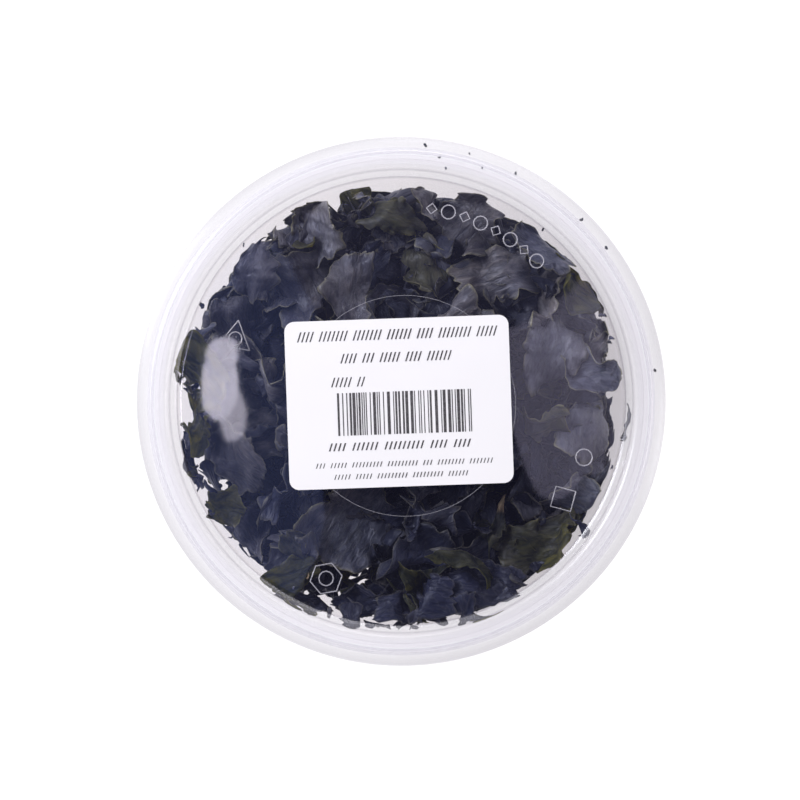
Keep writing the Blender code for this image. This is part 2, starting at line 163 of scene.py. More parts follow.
# The fill: more flakes of the same kind, between and under the others.
SLUMP = (-0.3 * MM, -1.5 * MM)
ROOF_REACH = 3.0
EDGE_ROOF_REACH = 0.8
ROOF_SHARE = 0.12
ROOF_GAP = 1.8 * MM
ROOF_CLEAR = 0.2 * MM
FILL_SEED = 90
FILL_BAND = 1.6 * MM
FILL_REACH = 35.0 * MM
FILL_TOP = 43.3 * MM
RIBBON_SHARE = 0.3
OLIVE_COUNT = 0.14
RIM_TURN = (-162, 160)
EDGE_TURN = (-175, 185)
# How far inside the wall the outermost bits end, in mm, by the angle in degrees.
EDGE_INSET = ((-175, 2.4), (-168, 2.6), (-160, 1.6), (-150, 1.0), (-120, 1.0), (-95, 1.1),
              (-60, 1.2), (-30, 1.2), (-20, 2.4), (-12, 0.8), (10, 0.8), (20, 1.8), (60, 1.8),
              (100, 2.6), (115, 2.4), (135, 3.2), (150, 3.0), (165, 1.6), (185, 0.9))
# The ripples on a fine flake: their length, from and to, in shares of its size, and the steepness.
RIPPLES = ((0.3, 0.9, 1.15),) * 4 + ((0.12, 0.25, 0.6),) * 3

# The plastic, in rings: radius in mm, tint of the light through it, then milk, gloss and roughness.
MILK_COLOUR = (0.9, 0.885, 0.945, 1)
LID_BANDS = (
    (0, (0.971, 0.957, 0.964), (0.005, 1, 0.025)),
    (39.85, (0.971, 0.957, 0.964), (0.006, 1, 0.025)),
    # The tint dips at 39.95 to 40.08 mm and at 41.22 to 41.30 mm are painted shade: thin grey and
    # dark lines at the panel's edge and on the steep wall up to the channel.
    (39.95, (0.83, 0.815, 0.835), (0.02, 0.5, 0.15)),
    (40.08, (0.83, 0.815, 0.835), (0.03, 0.3, 0.15)),
    (40.2, (0.99, 0.984, 0.995), (0.06, 0.15, 0.25)),
    (40.45, (1, 0.996, 1), (0.08, 0.12, 0.25)),
    (41.15, (1, 0.995, 1), (0.08, 0.12, 0.25)),
    (41.22, (0.68, 0.664, 0.694), (0.04, 0.12, 0.25)),
    (41.3, (0.68, 0.664, 0.694), (0.04, 0.12, 0.25)),
    (41.38, (0.998, 0.993, 1), (0.1, 0.15, 0.25)),
    (42, (0.998, 0.993, 1), (0.12, 0.15, 0.25)),
    (42.6, (0.995, 0.99, 1), (0.12, 0.15, 0.25)),
    (42.72, (0.95, 0.942, 0.958), (0.08, 0.15, 0.25)),
    (42.86, (0.994, 0.989, 1), (0.12, 0.15, 0.25)),
    (43.7, (0.986, 0.98, 0.995), (0.12, 0.15, 0.25)),
    (43.85, (1, 0.996, 1), (0.25, 0.15, 0.25)),
    (44, (0.976, 0.969, 0.984), (0.11, 0.15, 0.25)),
    (44.5, (0.962, 0.954, 0.97), (0.11, 0.15, 0.25)),
    (45.3, (0.968, 0.961, 0.976), (0.11, 0.15, 0.25)),
    (45.5, (0.922, 0.911, 0.926), (0.08, 0.14, 0.28)),
    (46.9, (0.888, 0.877, 0.893), (0.07, 0.14, 0.28)),
    (47.2, (0.862, 0.85, 0.868), (0.07, 0.14, 0.28)),
    (47.5, (0.915, 0.905, 0.92), (0.06, 0.14, 0.28)),
)
TUB_BANDS = (
    (0, (0.97, 0.96, 0.966), (0.012, 0.5, 0.15)),
    (47.5, (0.97, 0.96, 0.968), (0.022, 0.2, 0.2)),
)
# The moulded ring and marks are milkier than the lid, a painted highlight for the light that their
# raised lines catch.
MARK_HIGHLIGHT_BANDS = tuple((radius, (0.95, 0.95, 0.965), (0.32, 0.6, 0.25)) for radius in (0, 47.5))
RING_WANDER = 0.12 * MM
LID_MIRROR = 0.04
TUB_MIRROR = 0.018

# Painted shade: the wakame is darker below and inside these heights and radii, where little light
# gets in.
PAINTED_SHADE_HEIGHTS = (38.5 * MM, 31.5 * MM)
PAINTED_SHADE_RADII = (38.5 * MM, 34.5 * MM)
PAINTED_SHADE_SHARE = 0.62
# The small drift of its dark colour from flake to flake, and the lift of that colour.
CAST_STOPS = ((0.38, (1.0, 0.93, 0.84)), (0.62, (0.74, 0.81, 1.0)))
DARK_LIFT = (1.16, 1.12, 1.24)

# What is moulded on the lid's panel, in mm: the marks are x, y, radius, sides and turn in degrees.
RING_CENTRE = (0.7, -0.8)
RING_RADIUS = 19.7
RING_SIDES = 180
RING_LINE = 0.036 * MM
MARK_LINE = 0.11 * MM
MARKS = ((-29.6, 11.2, 3.3, 3, 80), (-29.6, 11.2, 1.2, 12, 0), (-13.4, -31.6, 2.9, 6, 10),
         (-13.4, -31.6, 1.3, 12, 0), (28.9, -17.4, 2.6, 4, 30), (32.6, -10.0, 1.5, 12, 0))
MARK_ROW_RADIUS = 34.8
MARK_ROW_TURNS = range(81, 41, -5)
MARK_ROW_SHAPES = ((0.95, 4), (1.25, 14))

# The specks on the lid's rim, x and y in mm, and the crumbs on the wall under it.
SPECK_SEED = 17
RIM_SPECKS = ((4.4, 45.7), (12.3, 44.3), (6.9, 43.2), (7.9, 41.4), (14.3, 41.2), (20.5, 41.0),
              (32.1, 32.5), (36.6, 27.6), (45.3, 5.7))
SPECK_SIZE = (0.45, 0.85)
SPECK_THICK = 0.08 * MM
SPECK_SINK = 0.26 * MM
WALL_CRUMBS = 16

# The sky is brighter towards one side by this much, and bright only round the horizon.
WORLD_BRIGHT_SIDE = (-0.4, 0.28, 0.0)
WORLD_STRENGTH = 0.85
HORIZON_BAND = (0.14, 0.24)
HORIZON_STRENGTH = 1.02
SKY_STOPS = ((0.18, (1.0, 1.0, 1.0)), (0.45, (0.42, 0.42, 0.44)), (0.8, (0.018, 0.02, 0.095)))
# The floor, and the soft shadow painted on it round the tub: rings of radius in mm and share.
FLOOR_CORNERS = ((-4, -4, 0), (4, -4, 0), (4, 4, 0), (-4, 4, 0))
FLOOR_DROP = 0.2 * MM
FLOOR_GLOW = 1.02
SHADE_SIDE = (0.996, -0.087, 0.0)
SHADE_SPREAD = 0.6
SHADE_DEPTH = 0.33
SHADE_ALL_ROUND = 0.03
SHADE_RADIUS = 60 * MM
SHADE_RINGS = ((0.0, 1.0), (45.0, 1.0), (46.5, 0.5), (51.0, 0.2), (52.6, 0.0))

# The camera, in metres, with the lens and the sensor in mm, and the view's width in pixels.
CAMERA_PLACE = (-0.215 * MM, 0.233 * MM, 0.441)
CAMERA_LENS = 100
CAMERA_SENSOR = 36
CAMERA_CLIP = (0.01, 20)
VIEW_WIDTH = 800

# The soft lights: place and size in metres, power in watts, and colour.
SOFTBOX_AIM = (0, 0, 0.04)
SOFTBOXES = {
    "softbox_left": ((-0.52, 0.26, 0.5), (0.3, 0.4), 6.4, (0.92, 0.945, 1.0)),
    "softbox_right": ((0.6, -0.1, 0.45), (0.3, 0.5), 1.5, (1.0, 0.97, 1.0)),
    "softbox_back": ((0.15, 0.6, 0.45), (0.5, 0.3), 1.9, (0.97, 0.96, 1.0)),
}
# Dim cards that the lid mirrors: column, row, width and height in pixels of the view, then power
# and colour.
CARD_HEIGHT = 0.85
WINDOW_BLUE = (0.86, 0.83, 1.0)
HAZE_BLUE = (0.8, 0.76, 1.0)
STREAK_BLUE = (0.82, 0.8, 1.0)
MIRRORED_CARDS = {
    "window_top": (222, 354, 36, 42, 0.0068, WINDOW_BLUE),
    "window_middle": (220, 384, 43, 76, 0.016, WINDOW_BLUE),
    "window_low": (234, 415, 28, 50, 0.0044, WINDOW_BLUE),
    "sky_left": (246, 434, 170, 390, 0.02, (0.3, 0.41, 1.0)),
    "sky_back": (420, 262, 330, 150, 0.0046, (0.5, 0.52, 1.0)),
    "haze_right": (552, 350, 92, 300, 0.018, (0.75, 0.71, 1.0)),
    "haze_edge": (584, 424, 34, 96, 0.0022, HAZE_BLUE, "RECTANGLE"),
    "haze_outer": (612, 412, 22, 150, 0.0012, HAZE_BLUE),
    "streak_middle": (490, 274, 30, 76, 0.0022, STREAK_BLUE),
    "streak_right": (536, 330, 22, 120, 0.0014, STREAK_BLUE),
    "streak_low": (541, 458, 30, 44, 0.001, STREAK_BLUE),
}

OBJECT = bpy.data.collections.new("wakame_tub")
bpy.context.scene.collection.children.link(OBJECT)


# ---- helpers

def new_piece(name, mesh, mat, slot_name, *replaced):
    """A piece of the object, with its material and the node it stands for, if any. The slot name is
    not used.
    """
    obj = bpy.data.objects.new(name, mesh)
    OBJECT.objects.link(obj)
    mesh.materials.clear()
    mesh.materials.append(mat)
    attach(obj, "root")
    if replaced:
        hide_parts(*replaced)


def mesh_from(name, points, quads, smooth=True):
    mesh = bpy.data.meshes.new(name)
    points, quads = np.asarray(points).tolist(), np.asarray(quads).tolist()
    mesh.from_pydata(points, [], quads, shade_flat=not smooth)
    mesh.validate()
    return mesh


def slab_quads(rows, columns):
    """The faces of two equal grids, one over the other, joined round their border."""
    size = rows * columns
    index = np.arange(size).reshape(rows, columns)
    a, b, c, d = index[:-1, :-1], index[:-1, 1:], index[1:, 1:], index[1:, :-1]
    upper = np.stack([a, b, c, d], axis=-1).reshape(-1, 4)
    border = np.concatenate([index[0, :], index[1:, -1], index[-1, -2::-1], index[-2:0:-1, 0]])
    after = np.roll(border, -1)
    rim = np.stack([after, border, border + size, after + size], axis=-1)
    return np.concatenate([upper, upper[:, ::-1] + size, rim])


def made_mesh(scratch):
    """The mesh of an object as its modifiers leave it. The object itself is removed."""
    OBJECT.objects.link(scratch)
    evaluated = scratch.evaluated_get(bpy.context.evaluated_depsgraph_get())
    mesh = bpy.data.meshes.new_from_object(evaluated)
    bpy.data.objects.remove(scratch)
    mesh.shade_smooth()
    return mesh


def polar(radius, angle, centre=(0, 0)):
    return centre[0] + radius * math.cos(angle), centre[1] + radius * math.sin(angle)


class Nodes:
    """A short way to build the node tree of a new material, or of the world."""

    def __init__(self, owner, output="OutputMaterial"):
        if isinstance(owner, str):
            owner = bpy.data.materials.new(owner)
        owner.use_nodes = True
        self.owner, self.tree = owner, owner.node_tree
        self.tree.nodes.clear()
        self.out = self.add(output)

    def add(self, kind, inputs=None, **settings):
        node = self.tree.nodes.new("ShaderNode" + kind)
        for key, value in settings.items():
            setattr(node, key, value)
        for key, value in (inputs or {}).items():
            self.feed(node.inputs[key], value)
        return node

    def feed(self, socket, value):
        if isinstance(value, bpy.types.NodeSocket):
            self.tree.links.new(value, socket)
        elif isinstance(value, bpy.types.Node):
            self.tree.links.new(value.outputs[0], socket)
        else:
            socket.default_value = value

    def math(self, operation, *values, clamp=False):
        values = dict(enumerate(values))
        return self.add("Math", values, operation=operation, use_clamp=clamp).outputs[0]

    def times(self, first, second, clamp=False):
        return self.math("MULTIPLY", first, second, clamp=clamp)

    def plus(self, first, second, clamp=False):
        return self.math("ADD", first, second, clamp=clamp)

    def scaled(self, value, factor, offset, clamp=False):
        return self.math("MULTIPLY_ADD", value, factor, offset, clamp=clamp)

    def vector(self, operation, *values, output=0):
        node = self.add("VectorMath", operation=operation)
        for index, value in enumerate(values):
            self.feed(node.inputs[index], value)
        return node.outputs[output]

    def noise(self, place, scale, detail=2.0, rough=0.5, distortion=0.0):
        return self.add("TexNoise", {"Vector": place, "Scale": scale, "Detail": detail,
                                     "Roughness": rough, "Distortion": distortion}).outputs["Fac"]

    def share(self, value, start, end):
        """0 where the value is at the start of a range or before it, and 1 from its end on."""
        return self.add("MapRange", {"Value": value, "From Min": start, "From Max": end}).outputs[0]

    def ramp(self, value, *stops):
        node = self.add("ValToRGB", {"Fac": value})
        ramp = node.color_ramp
        while len(ramp.elements) < len(stops):
            ramp.elements.new(0.5)
        for element, (place, colour) in zip(ramp.elements, stops):
            element.position = place
            element.color = (*colour, 1)
        return node.outputs[0]

    def mix(self, factor, first, second, blend="MIX"):
        node = self.add("Mix", data_type="RGBA", blend_type=blend)
        for index, value in ((0, factor), (6, first), (7, second)):
            self.feed(node.inputs[index], (*value, 1) if isinstance(value, tuple) else value)
        return node.outputs[2]

    def mix_shader(self, factor, first, second):
        return self.add("MixShader", {0: factor, 1: first, 2: second}).outputs[0]

    def bump(self, height, strength, distance):
        return self.add("Bump", {"Strength": strength, "Distance": distance, "Height": height})

    def from_axis(self):
        """The place on the object, the same without its height, and the distance from the axis."""
        place = self.add("TexCoord").outputs["Object"]
        flat = self.vector("MULTIPLY", place, (1.0, 1.0, 0.0))
        return place, flat, self.vector("LENGTH", flat, output="Value")

    def surface(self, shader):
        self.feed(self.out.inputs["Surface"], shader)
        return self.owner


# ---- materials

def plastic_material(name, bands, mirror=LID_MIRROR):
    """Milky polypropylene, whose clearness and gloss change in rings round the axis."""
    n = Nodes(name)
    place, flat, radius = n.from_axis()
    drift = n.noise(flat, 14.0, 1.0)
    radius = n.plus(radius, n.scaled(drift, RING_WANDER, -RING_WANDER / 2))
    share = n.math("DIVIDE", radius, LID_RADIUS)
    tint, finish = (n.ramp(share, *((band[0] * MM / LID_RADIUS, band[part]) for band in bands))
                    for part in (1, 2))
    milk, shine, rough = n.add("SeparateColor", {"Color": finish}).outputs
    cloud = n.noise(place, 38.0, 3.0, 0.6)
    grain = n.noise(place, 300.0)
    wave = n.noise(place, 45.0, 1.5)
    lumps = n.scaled(cloud, 0.4, n.scaled(grain, 0.1, 0.75))
    bump = n.bump(n.times(wave, n.math("POWER", shine, 2.0)), 0.12, 0.5 * MM)
    clear = n.add("BsdfTransparent", {"Color": tint})
    white = n.add("BsdfDiffuse", {"Color": MILK_COLOUR, "Normal": bump})
    through = n.add("BsdfTranslucent", {"Color": MILK_COLOUR, "Normal": bump})
    milky = n.mix_shader(0.5, white, through)
    body = n.mix_shader(n.times(lumps, milk, clamp=True), clear, milky)
    gloss = n.add("BsdfGlossy", {"Color": (1, 1, 1, 1), "Roughness": rough, "Normal": bump})
    away = n.add("LayerWeight", {"Blend": 0.5, "Normal": bump}).outputs["Facing"]
    steep = n.times(n.math("POWER", away, 5.0), n.times(shine, 0.96))
    return n.surface(n.mix_shader(n.plus(steep, mirror, clamp=True), body, gloss))


def wakame_material():
    """Dried seaweed: blue-black and satin, olive where it is thin, tan at a cut stem."""
    n = Nodes("dried_wakame")
    tone = n.add("Attribute", attribute_name="tone")
    olive, edge, light = n.add("SeparateColor", {"Color": tone.outputs["Color"]}).outputs
    sheet = n.add("UVMap", uv_map="sheet").outputs[0]
    stretch = n.add("Mapping", {"Vector": sheet, "Scale": (1.0, 2.6, 1.0)}).outputs[0]
    mottle = n.noise(sheet, 1.6, 2.0, 0.45, 0.6)
    streak = n.noise(stretch, 2.8, 3.0, 0.45, 0.9)
    patch = n.share(mottle, 0.3, 0.7)
    vein = n.share(streak, 0.35, 0.72)
    # The dark blade, with paler veins, and paler where the flake is light: its own dust and tone,
    # and painted light towards the left and the back.
    dark = n.mix(patch, (0.0045, 0.0062, 0.015), (0.0175, 0.0215, 0.043))
    lit_vein = n.times(vein, n.scaled(light, 0.3, 0.16))
    dark = n.mix(lit_vein, dark, (0.04, 0.046, 0.078))
    pale = n.mix(vein, (0.09, 0.095, 0.103), (0.22, 0.226, 0.21))
    dark = n.mix(n.times(light, 0.6), dark, pale)
    cast = n.ramp(n.noise(sheet, 0.35, 0.0), *CAST_STOPS)
    dark = n.mix(1.0, n.mix(1.0, dark, cast, "MULTIPLY"), DARK_LIFT, "MULTIPLY")
    # The thin olive blade, the yellow-green edge and the tan stem.
    green = n.mix(vein, (0.018, 0.024, 0.008), (0.085, 0.088, 0.026))
    green = n.mix(n.times(light, 0.45), green, (0.165, 0.168, 0.09))
    olive_amount = n.times(olive, n.scaled(patch, 0.6, 0.5), clamp=True)
    base = n.mix(olive_amount, dark, green)
    # Pale margins: partly the thin edge's own colour, partly a painted highlight where an edge
    # catches the light.
    rim = n.times(n.math("POWER", edge, 26.0), n.scaled(light, 0.9, 0.22), clamp=True)
    base = n.mix(rim, base, (0.2, 0.192, 0.11))
    wood = n.mix(vein, (0.26, 0.19, 0.11), (0.5, 0.41, 0.29))
    base = n.mix(tone.outputs["Alpha"], base, wood)
    # Fibres, grains of salt, and creases, with pale lines along the creases as painted highlights.
    fibre = n.scaled(n.noise(stretch, 8.0, 2.0, 0.6, 0.5), 1.3, 0.35)
    base = n.mix(1.0, base, fibre, "MULTIPLY")
    salt = n.share(n.noise(sheet, 30.0, 1.0), 0.72, 0.77)
    base = n.mix(n.times(salt, 0.2), base, (0.2, 0.2, 0.23))
    wrinkle = n.math("ABSOLUTE", n.plus(n.noise(stretch, 1.6, 2.0, 0.5, 1.4), -0.5))
    crease = n.scaled(wrinkle, -26.0, 1.0, clamp=True)
    # Painted highlight: the creases are drawn as pale lines.
    crease_highlight = n.times(crease, n.scaled(light, 0.3, 0.1), clamp=True)
    base = n.mix(crease_highlight, base, (0.15, 0.155, 0.155))
    # Painted shade: deep in the heap the blades are darker and less glossy.
    place, _, radius = n.from_axis()
    height = n.add("SeparateXYZ", {0: place}).outputs["Z"]
    depth_shade_mask = n.times(n.share(height, *PAINTED_SHADE_HEIGHTS), n.share(radius, *PAINTED_SHADE_RADII))
    painted_depth_shade = n.times(depth_shade_mask, PAINTED_SHADE_SHARE)
    base = n.mix(painted_depth_shade, base, (0.002, 0.002, 0.004))
    fine = n.scaled(n.noise(sheet, 12.0), 0.16, n.times(crease, 0.14))
    bump = n.bump(n.scaled(streak, 1.3, n.scaled(mottle, 0.9, fine)), 0.85, 0.5 * MM)
    shine = n.times(n.scaled(painted_depth_shade, -1.0, 1.0), n.scaled(light, 0.22, 0.28))
    blade = n.add("BsdfPrincipled", {
        "Base Color": base, "Roughness": n.scaled(mottle, 0.2, 0.33), "Normal": bump,
        "Specular IOR Level": shine, "Specular Tint": (0.78, 0.84, 1, 1),
        "Sheen Weight": 0.08, "Sheen Roughness": 0.35, "Sheen Tint": (0.72, 0.76, 1, 1)})
    lit_through = n.mix(vein, (0.15, 0.16, 0.012), (0.6, 0.56, 0.09))
    glow = n.add("BsdfTranslucent", {"Color": lit_through, "Normal": bump})
    thin = n.times(olive_amount, n.scaled(edge, 0.12, 0.5), clamp=True)
    return n.surface(n.mix_shader(thin, blade, glow))


def matt_material(name, scale, stops, rough, relief=None):
    """A matt, uneven skin. Its relief is a noise's scale and detail, strength and depth."""
    n = Nodes(name)
    place = n.add("TexCoord").outputs["Object"]
    skin = {"Base Color": n.ramp(n.noise(place, scale), *stops), "Roughness": rough}
    if relief:
        skin["Normal"] = n.bump(n.noise(place, *relief[:2]), *relief[2:])
    return n.surface(n.add("BsdfPrincipled", skin))


# ---- tub and lid

def rounded_path(corners):
    """The path through corners of (radius, height, fillet), each fillet as an arc."""
    path = [Vector(corners[0][:2])]
    for before, here, after in zip(corners, corners[1:], corners[2:]):
        corner = Vector(here[:2])
        towards = (Vector(before[:2]) - corner).normalized()
        onwards = (Vector(after[:2]) - corner).normalized()
        turn = math.pi - towards.angle(onwards)
        reach = here[2] * math.tan(turn / 2)
        if reach < 1e-6:
            path.append(corner)
            continue
        middle = corner + (towards + onwards).normalized() * (here[2] / math.cos(turn / 2))
        start = corner + towards * reach - middle
        end = corner + onwards * reach - middle
        steps = max(1, math.ceil(turn / ARC_STEP))
        swing = start.angle_signed(end)
        for step in range(steps + 1):
            arm = start.copy()
            arm.rotate(Matrix.Rotation(-swing * step / steps, 2))
            path.append(middle + arm)
    path.append(Vector(corners[-1][:2]))
    return path


def turned_shell(name, corners, wall, mat, replaced):
    """A thin shell turned from its outer face's path, with the wall added inside."""
    path = rounded_path(corners)
    mesh = bpy.data.meshes.new(name + "_path")
    edges = [(i, i + 1) for i in range(len(path) - 1)]
    mesh.from_pydata([(p.x, 0, p.y) for p in path], edges, [])
    scratch = bpy.data.objects.new(name + "_path", mesh)
    screw = scratch.modifiers.new("turn", "SCREW")
    screw.axis = "Z"
    screw.steps = screw.render_steps = TURN_STEPS
    screw.use_merge_vertices = True
    screw.merge_threshold = 0.01 * MM
    solidify = scratch.modifiers.new("wall", "SOLIDIFY")
    solidify.thickness = wall
    solidify.offset = -1
    solidify.use_even_offset = True
    made = made_mesh(scratch)
    made.name = name
    made.set_sharp_from_angle(angle=SHARP_ANGLE)
    new_piece(name, made, mat, "plastic", replaced)


def make_tub(mat):
    corners = [
        (0, FOOT_RISE, 0),
        (FOOT_INNER - FOOT_RISE, FOOT_RISE, 0.5 * MM),
        (FOOT_INNER, 0, 0.3 * MM),
        (FOOT_OUTER, 0, 0.4 * MM),
        (HEEL_RADIUS, HEEL_HEIGHT, 1.2 * MM),
        (SHOULDER_RADIUS, SHOULDER_HEIGHT, 0.5 * MM),
        (COLLAR_RADIUS - 0.2 * MM, SHOULDER_HEIGHT + 0.9 * MM, 0.5 * MM),
        (COLLAR_RADIUS, RIM_TOP - TUB_WALL, 0.08 * MM),
        (RIM_RADIUS - TUB_WALL, RIM_TOP - TUB_WALL, 0.08 * MM),
        (RIM_RADIUS - TUB_WALL, RIM_TOP - RIM_DROP, 0),
    ]
    turned_shell("tub_shell", corners[::-1], TUB_WALL, mat, "tub")


def make_lid(mat):
    corners = [
        (0, PANEL_TOP, 0),
        (PANEL_RADIUS - 1.0 * MM, PANEL_TOP, 0.3 * MM),
        (PANEL_RADIUS, PANEL_TOP, 0.8 * MM),
        (CHANNEL_INNER, TOTAL_HEIGHT, 0.8 * MM),
        (CHANNEL_OUTER, TOTAL_HEIGHT, 1.0 * MM),
        (CHANNEL_OUTER - 0.5 * MM, SKIRT_WAIST, 0.8 * MM),
        (LID_RADIUS - 1.2 * MM, SKIRT_BOTTOM + 0.7 * MM, 0.6 * MM),
        (LID_RADIUS, SKIRT_BOTTOM, 0),
    ]
    turned_shell("lid_shell", corners, LID_WALL, mat, "lid")


# ---- one flake

class Flake:
    """One dried flake, drawn exactly as in the solids: rolled one way and buckled the other."""

    def __init__(self, rng, length, width, roll=1.0):
        self.length, self.width = length, width
        self.corner = rng.uniform(0.45, 0.95)
        self.taper = rng.uniform(-0.35, 0.35)
        self.sickle = rng.uniform(-0.15, 0.15)
        self.roll_way = rng.uniform(0, math.pi)
        self.roll = roll * rng.uniform(0.3, 1.5) * rng.choice((-1, 1))
        self.wave = roll * rng.uniform(0.25, 0.75)
        self.wave_turns = rng.uniform(0.8, 1.5)
        self.wave_start = rng.uniform(0, math.tau)
        self.buckle = roll * rng.uniform(0.05, 0.11) * width
        self.buckle_turns = rng.uniform(0.7, 1.3)
        self.buckle_start = rng.uniform(0, math.tau)
        self.buckle_skew = rng.uniform(-1.5, 1.5)

    def outline(self, s, t):
        x = s * np.sqrt(np.maximum(1 - self.corner * t * t / 2, 0.1)) * self.length / 2
        y = t * np.sqrt(np.maximum(1 - self.corner * s * s / 2, 0.1)) * self.width / 2
        y = y * (1 + self.taper * s) + self.sickle * self.length * (s * s - 0.4)
        return x, y

    def bend(self, x, y, ripple=0.0):
        half = self.length * 0.62
        cos, sin = math.cos(self.roll_way), math.sin(self.roll_way)
        along, across = x * cos + y * sin, y * cos - x * sin
        run = np.linspace(-half, half, 81)
        slope = self.roll * run / half
        wave = self.wave_turns * math.pi * run / half + self.wave_start
        slope = slope + self.wave * np.sin(wave)
        slope = slope - np.interp(0, run, slope)
        step = run[1] - run[0]
        lines = (np.cumsum(np.cos(slope)) * step, np.cumsum(np.sin(slope)) * step)
        place_x, place_z = (np.interp(along, run, line - np.interp(0, run, line)) for line in lines)
        lean = np.interp(along, run, slope)
        phase = self.buckle_turns * math.pi * across / self.width + self.buckle_start
        rise = self.buckle * np.sin(phase + self.buckle_skew * along / half) + ripple
        place_x = place_x - rise * np.sin(lean)
        place_z = place_z + rise * np.cos(lean)
        turned = (place_x * cos - across * sin, place_x * sin + across * cos)
        return np.stack([*turned, place_z], axis=1)


class Detail:
    """What a fine flake has beyond its main form: a torn, ruffled edge, folds and ripples."""

    def __init__(self, seed, size, folds=(0.1, 0.4), ruffle=1.0, orders=34):
        rng = np.random.default_rng(seed)
        self.size = size
        self.offset = rng.uniform(0, 40, 2)
        self.light = rng.uniform(0, 1) ** 2.2
        self.olive = None
        self.stem_end = 1
        self.orders = np.arange(2, orders)
        self.teeth = rng.normal(0, 1, len(self.orders)) * 0.2 / self.orders ** 1.05
        self.teeth_start = rng.uniform(0, math.tau, len(self.orders))
        self.tears = [(rng.uniform(-math.pi, math.pi), rng.uniform(0.12, 0.42),
                       rng.uniform(0.07, 0.26)) for _ in range(rng.integers(0, 4))]
        self.curl_turns = rng.integers(4, 10)
        self.curl_start = rng.uniform(0, math.tau)
        self.curl = rng.uniform(0.02, 0.06) * size * ruffle
        self.waves = []
        for shortest, longest, steepness in RIPPLES:
            length = rng.uniform(shortest, longest) * size
            steep = rng.uniform(0.03, 0.08) * steepness
            self.waves.append((rng.uniform(0, math.tau), length, rng.uniform(0, math.tau),
                               steep * length * ruffle))
        self.folds = [(rng.uniform(0, math.tau), rng.uniform(-0.28, 0.28) * size,
                       rng.uniform(0.04, 0.16) * size, rng.uniform(*folds) * rng.choice((-1, 1)),
                       rng.uniform(-0.6, 0.6) / size) for _ in range(rng.integers(2, 5))]

    def ragged(self, s, t):
        around = np.arctan2(t, s)
        ring = np.maximum(np.abs(s), np.abs(t))
        teeth = np.zeros_like(s)
        for order, height, start in zip(self.orders, self.teeth, self.teeth_start):
            teeth += height * np.sin(order * around + start)
        for place, depth, width in self.tears:
            gap = np.angle(np.exp(1j * (around - place)))
            teeth -= depth * np.exp(-(gap / width) ** 2)
        scale = 1 + ring ** 3 * np.clip(teeth, -0.6, 0.3)
        return s * scale, t * scale, ring

    def ripple(self, x, y, ring):
        rise = np.zeros_like(x)
        for way, length, start, height in self.waves:
            run = x * math.cos(way) + y * math.sin(way)
            rise += height * np.sin(math.tau * run / length + start)
        rise *= 0.4 + 0.9 * ring ** 2
        around = np.arctan2(y, x)
        rise += self.curl * ring ** 4 * np.sin(self.curl_turns * around + self.curl_start)
        return rise

    def fold(self, points):
        """Turns the part beyond each fold line about that line, along a small round."""
        half = 1.6 * self.size
        for way, shift, width, turn, bow in self.folds:
            across = np.array((math.cos(way), math.sin(way)))
            along = np.array((-math.sin(way), math.cos(way)))
            run = points[:, :2] @ across - shift - bow * (points[:, :2] @ along) ** 2
            path = np.linspace(-half, half, 241)
            step = path[1] - path[0]
            share = np.clip(path / width + 0.5, 0, 1)
            slope = turn * share * share * (3 - 2 * share)
            line = -half + np.cumsum(np.cos(slope)) * step - step
            rise = np.cumsum(np.sin(slope)) * step
            lean = np.interp(run, path, slope)
            height = points[:, 2].copy()
            moved = np.interp(run, path, line) - height * np.sin(lean)
            points[:, :2] += (moved - run)[:, None] * across
            points[:, 2] = np.interp(run, path, rise) + height * np.cos(lean)
        points -= (points[len(points) // 2] + points.mean(axis=0)) / 2
        return points


def placed(points, centre, normal, spin):
    """A flake's points, turned about its normal, faced along it and moved to its place."""
    facing = Vector(normal).to_track_quat("Z", "Y").to_matrix() @ Matrix.Rotation(spin, 3, "Z")
    return points @ np.array(facing).T + np.array(centre)


def tilted(normal, tilt, rng):
    """A normal that leans by a tilt towards a side drawn at random."""
    side = Vector(normal).orthogonal().normalized()
    side.rotate(Matrix.Rotation(rng.uniform(0, math.tau), 3, normal))
    leant = Vector(normal)
    leant.rotate(Matrix.Rotation(tilt, 3, side))
    return leant


def soft_limit(values, limit, band):
    """The values as they are up to a band below the limit, then ever closer to it."""
    over = np.maximum(values - (limit - band), 0)
    return np.where(over > 0, limit - band * np.exp(-over / band), values)


def wall_radius(height):
    """The radius of the tub's inner wall, which leans out up to the shoulder."""
    share = (np.minimum(height, SHOULDER_HEIGHT) - HEEL_HEIGHT) / (SHOULDER_HEIGHT - HEEL_HEIGHT)
    return HEEL_RADIUS + share * (SHOULDER_RADIUS - HEEL_RADIUS) - TUB_WALL


def collar_step(height):
    """How much wider the tub is inside its collar than at its shoulder."""
    share = np.clip((height - SHOULDER_HEIGHT) / COLLAR_RISE, 0, 1)
    return share * (COLLAR_RADIUS - SHOULDER_RADIUS)


def pressed_in(points, top, margin=WALL_MARGIN, band=SOFT_BAND):
    """Moves the points inside the tub, under a height, with a soft stop."""
    floor = FOOT_RISE + TUB_WALL + margin
    points[:, 2] = soft_limit(points[:, 2], top, band)
    points[:, 2] = -soft_limit(-points[:, 2], -floor, band / 2)
    radius = np.hypot(points[:, 0], points[:, 1])
    limit = wall_radius(points[:, 2]) - margin
    if margin == FINE_MARGIN:
        limit = limit + collar_step(points[:, 2])
    points[:, :2] *= (soft_limit(radius, limit, band) / np.maximum(radius, 1e-9))[:, None]
    return points


